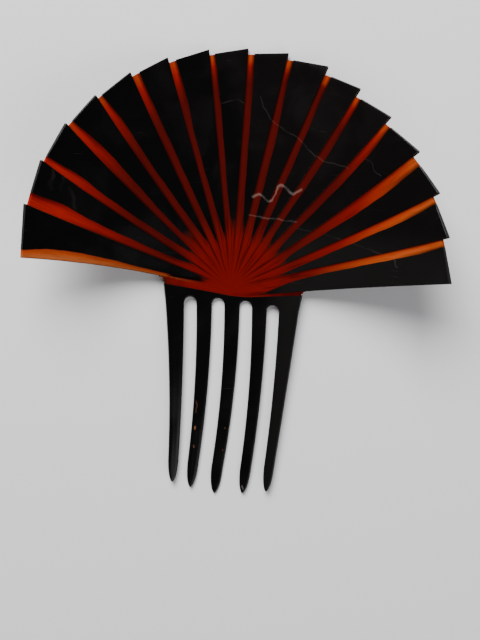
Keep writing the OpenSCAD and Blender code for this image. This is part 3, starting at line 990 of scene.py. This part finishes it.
def make_black(handling, stroke):
    """Glossy black face, worn thin to a dark red at the blades' inner tips."""
    material, tree, shader = material_of("black_face")
    place = object_place(tree)
    smudges, scuffs, painted_sheen, low_painted_sheen = group_node(tree, handling, place).outputs
    _, wear = uv(tree, "fan")
    worn = calc(tree, "ADD", wear, times(tree, noise(tree, place, *TIP_NOISE), TIP_UNEVEN))
    worn = times(tree, fade(tree, worn, "worn tip"), TIP_STRENGTH)
    painted_sheen = times(tree, painted_sheen, calc(tree, "ADD", times(tree, smudges, 1 - SHEEN_LEAST), SHEEN_LEAST))
    drawn = unsteady(tree, place)
    scratches = times(tree, marks_of(tree, drawn, stroke, SCRATCHES + WORN_TOOTH),
                      fade(tree, noise(tree, place, *SKIP_NOISE), "skips"))
    rubbed = calc(tree, "ADD", scratches, times(tree, scuffs, SCUFF_STRENGTH), clamp=True)
    shade = mix(tree, smudges, BLACK, SMUDGED)
    # Painted sheen: lighter grey where light is reflected on the right side and low on the
    # block, stronger where smudged
    shade = mix(tree, painted_sheen, shade, SHEEN_GREY)
    shade = mix(tree, low_painted_sheen, shade, LOW_SHEEN_GREY)
    shade = mix(tree, worn, shade, WORN_RED)
    shade = mix(tree, rubbed, shade, SCRATCH)
    shade = mix(tree, marks_of(tree, drawn, stroke, CHIPS), shade, CHIP)
    rough = calc(tree, "ADD", times(tree, smudges, SMUDGE_ROUGH), BLACK_ROUGH)
    rough = calc(tree, "ADD", rough, times(tree, rubbed, RUBBED_ROUGH), clamp=True)
    height = calc(tree, "SUBTRACT", noise(tree, place, *BODY_NOISE),
                  times(tree, rubbed, RUBBED_DEPTH))
    add_bump(tree, shader, height, *BLACK_BUMP)
    tree.links.new(shade, shader.inputs["Base Color"])
    tree.links.new(rough, shader.inputs["Roughness"])
    set_plain(shader, IOR=1.5, Specular_IOR_Level=0.2)
    return material


def make_black_edge():
    """The sawn and filed walls of the black, duller than its face."""
    material, tree, shader = material_of("black_edge")
    grain = noise(tree, object_place(tree), *SAWN_NOISE)
    rough = calc(tree, "ADD", times(tree, grain, EDGE_GRAIN), EDGE_ROUGH)
    add_bump(tree, shader, grain, *EDGE_BUMP)
    tree.links.new(mix(tree, grain, SAWN, SAWN_PALE), shader.inputs["Base Color"])
    tree.links.new(rough, shader.inputs["Roughness"])
    set_plain(shader, IOR=1.5, Specular_IOR_Level=0.22)
    return material


def ray_noise(tree, turn, reach, turn_pace, reach_pace, detail, roughness=0.5):
    """Noise in lines that run out from the hub."""
    lines = tree.nodes.new("ShaderNodeCombineXYZ")
    feed(tree, lines.inputs, (times(tree, turn, turn_pace), times(tree, reach, reach_pace)))
    return noise(tree, lines.outputs[0], 1, detail, roughness)


def lit_colour(tree, reach, turn):
    """Painted light: the sheet's colour by how far the light comes in from the rim, and the
    painted glow of the bare hub.
    """
    lit = calc(tree, "SUBTRACT", reach, grey_ramp(tree, turn, HALF_LIT))
    lit = calc(tree, "DIVIDE", lit, grey_ramp(tree, turn, SOFTNESS))
    colour = ramp(tree, calc(tree, "ADD", lit, 0.5, clamp=True), LIT)
    return mix(tree, fade(tree, reach, "hub"), colour, HUB_GLOW)


def painted_rim_glow(tree, colour, reach, turn, share):
    """Painted light: an orange glow at the very rim, where light comes through the thin edge,
    except on the left wing, and more of it on the right wing, first at the rim and toward the
    crests."""
    rim = times(tree, fade(tree, reach, "rim"), fade(tree, turn, "past the left wing"))
    colour = mix(tree, rim, colour, RIM_GLOW)
    wing = times(tree, calc(tree, "SUBTRACT", turn, WING_TURN), WING_PACE)
    wing = times(tree, fade(tree, calc(tree, "ADD", reach, wing), "wing"),
                 fade(tree, share, "toward the crest"))
    return mix(tree, wing, colour, WING_GLOW)


def lowest_groove(tree, colour, wavering, reach, turn, share):
    """The lowest groove on the left, the thinnest, painted brightest as lit through from below,
    with a painted highlight just inside its foot, dark at the foot itself and less lit toward
    the hub.
    """
    lowest = times(tree, fade(tree, turn, "lowest groove"), fade(tree, reach, "lowest start"))
    bright = mix(tree, fade(tree, wavering, "lowest open end"), LOWEST_UNLIT,
                 ramp(tree, share, LOWEST))
    return mix(tree, lowest, colour, bright)


def groove_shading(tree, colour, reach, turn, share):
    """Darker along each groove's foot, and under its crest near the rim."""
    foot = times(tree, fade(tree, share, "foot"), fade(tree, reach, "foot start"),
                 calc(tree, "MAXIMUM", fade(tree, turn, "right half"),
                      fade(tree, reach, "foot end")))
    crest = times(tree, fade(tree, share, "crest"), fade(tree, reach, "crest start"))
    edges = times(tree, calc(tree, "MAXIMUM", foot, crest), fade(tree, turn, "other grooves"))
    return mix(tree, edges, colour, SHADE)


def drawn_lines(tree, colour, filed, reach, turn):
    """Fine lines of the file along each groove, and longer streaks in the hub."""
    colour = mix(tree, fade(tree, filed, "file lines"), colour, FILED)
    streaks = ray_noise(tree, turn, reach, *STREAK_LINES)
    streaks = times(tree, fade(tree, streaks, "streaks"), fade(tree, reach, "streak start"),
                    fade(tree, reach, "streak end"))
    return mix(tree, streaks, colour, STREAK)


def hub_lines(tree, colour, reach, turn):
    """Dark lines that carry the blades' tips in to the hub: painted shade of the low steps
    there.
    """
    part = calc(tree, "FRACT", times(tree, turn, PLEAT_COUNT))
    middle = calc(tree, "ABSOLUTE", calc(tree, "SUBTRACT", part, 0.5))
    away = times(tree, calc(tree, "SUBTRACT", 0.5, middle), reach, PLEAT_SPAN)
    uneven = ray_noise(tree, turn, reach, *UNEVEN_LINES)
    ridge_shade = times(tree, fade(tree, away, "hub line"), fade(tree, reach, "hub line start"),
                  fade(tree, reach, "hub line end"), fade(tree, turn, "past the left edge"),
                  fade(tree, uneven, "uneven"))
    return mix(tree, ridge_shade, colour, SHADE)


def tip_film(tree, colour, reach, turn, share):
    """The first blade's inner tip reaches lower, as a thin black film."""
    film = times(tree, fade(tree, turn, "lowest groove"), fade(tree, share, "film"),
                 fade(tree, reach, "film start"), fade(tree, reach, "film end"))
    return mix(tree, film, colour, FILM)


def make_amber(stroke):
    """Translucent orange-red sheet, painted as it looks lit through: bright where
    the groove is open, deep where black backs it."""
    material, tree, shader = material_of("amber_sheet")
    place = object_place(tree)
    across, reach = uv(tree, "stripe")
    turn, share = uv(tree, "fan")
    grain = noise(tree, place, *SHEET_NOISE)
    filed = ray_noise(tree, turn, reach, *FILE_LINES)
    wavering = times(tree, calc(tree, "SUBTRACT", grain, 0.5), LIGHT_WAVER)
    wavering = calc(tree, "ADD", reach, wavering)
    colour = lit_colour(tree, wavering, turn)
    colour = painted_rim_glow(tree, colour, wavering, turn, share)
    colour = lowest_groove(tree, colour, wavering, reach, turn, share)
    colour = groove_shading(tree, colour, reach, turn, share)
    colour = drawn_lines(tree, colour, filed, reach, turn)
    colour = hub_lines(tree, colour, reach, turn)
    colour = tip_film(tree, colour, reach, turn, share)
    backed = times(tree, fade(tree, across, "behind the crest"),
                   fade(tree, reach, "backed start"))
    colour = mix(tree, backed, colour, UNDER_BLACK)
    scratches = marks_of(tree, unsteady(tree, place), stroke, SHEET_SCRATCHES)
    colour = mix(tree, scratches, colour, SHEET_SCRATCH)
    rough = calc(tree, "ADD", times(tree, grain, SHEET_GRAIN), SHEET_ROUGH)
    add_bump(tree, shader, calc(tree, "ADD", grain, filed), *SHEET_BUMP)
    tree.links.new(colour, shader.inputs["Base Color"])
    # The emission is a painted glow of the light that comes through the sheet
    tree.links.new(colour, shader.inputs["Emission Color"])
    tree.links.new(rough, shader.inputs["Roughness"])
    set_plain(shader, Emission_Strength=0.25, Specular_IOR_Level=0.0)
    return material


stroke = make_stroke()
black = [make_black(make_handling(), stroke), make_black_edge()]
amber_sheet(make_amber(stroke))
black_tine_face(black)
for k in range(1, PLEAT_COUNT + 1):
    black_pleat(k, black)


# Stage, light and camera
FLOOR_SIZE, FLOOR_COLOUR = 3, (0.86, 0.86, 0.87, 1)
SKY_COLOUR, SKY_STRENGTH = (0.9, 0.93, 1, 1), 0.12


def make_floor():
    bm = bmesh.new()
    bmesh.ops.create_grid(bm, x_segments=1, y_segments=1, size=FLOOR_SIZE)
    mesh = bpy.data.meshes.new("floor")
    bm.to_mesh(mesh)
    bm.free()
    floor = bpy.data.objects.new("floor", mesh)
    bpy.context.scene.collection.objects.link(floor)
    material, _, shader = material_of("floor")
    set_plain(shader, Base_Color=FLOOR_COLOUR, Roughness=0.9)
    mesh.materials.append(material)


def area_light(name, place, size, power):
    """A round soft light that shines at the middle of the comb."""
    light = bpy.data.lights.new(name, "AREA")
    light.shape = "DISK"
    light.size = size
    light.energy = power
    lamp = bpy.data.objects.new(name, light)
    bpy.context.scene.collection.objects.link(lamp)
    lamp.location = place
    lamp.rotation_euler = Vector(place).to_track_quat("Z", "Y").to_euler()


make_floor()
area_light("window", (-0.25, 0.75, 0.75), size=0.7, power=22)
area_light("fill", (0.6, -0.9, 0.9), size=1.2, power=8)
world = bpy.data.worlds.new("studio")
world.use_nodes = True
set_plain(world.node_tree.nodes["Background"], Color=SKY_COLOUR, Strength=SKY_STRENGTH)
bpy.context.scene.world = world

# The photograph's camera: nearly straight above, a little toward the fan's top.
# Its place is counted from the hub along its own axes, in millimetres.
EYE = Vector((3.2, -11, 347))
ROLL, LEAN, TILT = radians(-4.2), radians(0.3), radians(10)
SENSOR, FOCAL_PIXELS, PHOTO_HEIGHT = 36, 1000, 640
NEAREST = 0.01
turned = (Matrix.Rotation(ROLL, 3, "Z") @ Matrix.Rotation(LEAN, 3, "Y")
          @ Matrix.Rotation(TILT, 3, "X")).transposed()
eye = turned @ EYE - Vector((CENTRE_X, CENTRE_Y, -TRUE_LENGTH_H))
lens = bpy.data.cameras.new("camera")
lens.sensor_fit = "VERTICAL"
lens.sensor_height = SENSOR
lens.lens = FOCAL_PIXELS / PHOTO_HEIGHT * SENSOR
lens.clip_start = NEAREST
camera = bpy.data.objects.new("camera", lens)
bpy.context.scene.collection.objects.link(camera)
camera.matrix_world = Matrix.Translation(eye * MM) @ turned.to_4x4()
bpy.context.scene.camera = camera
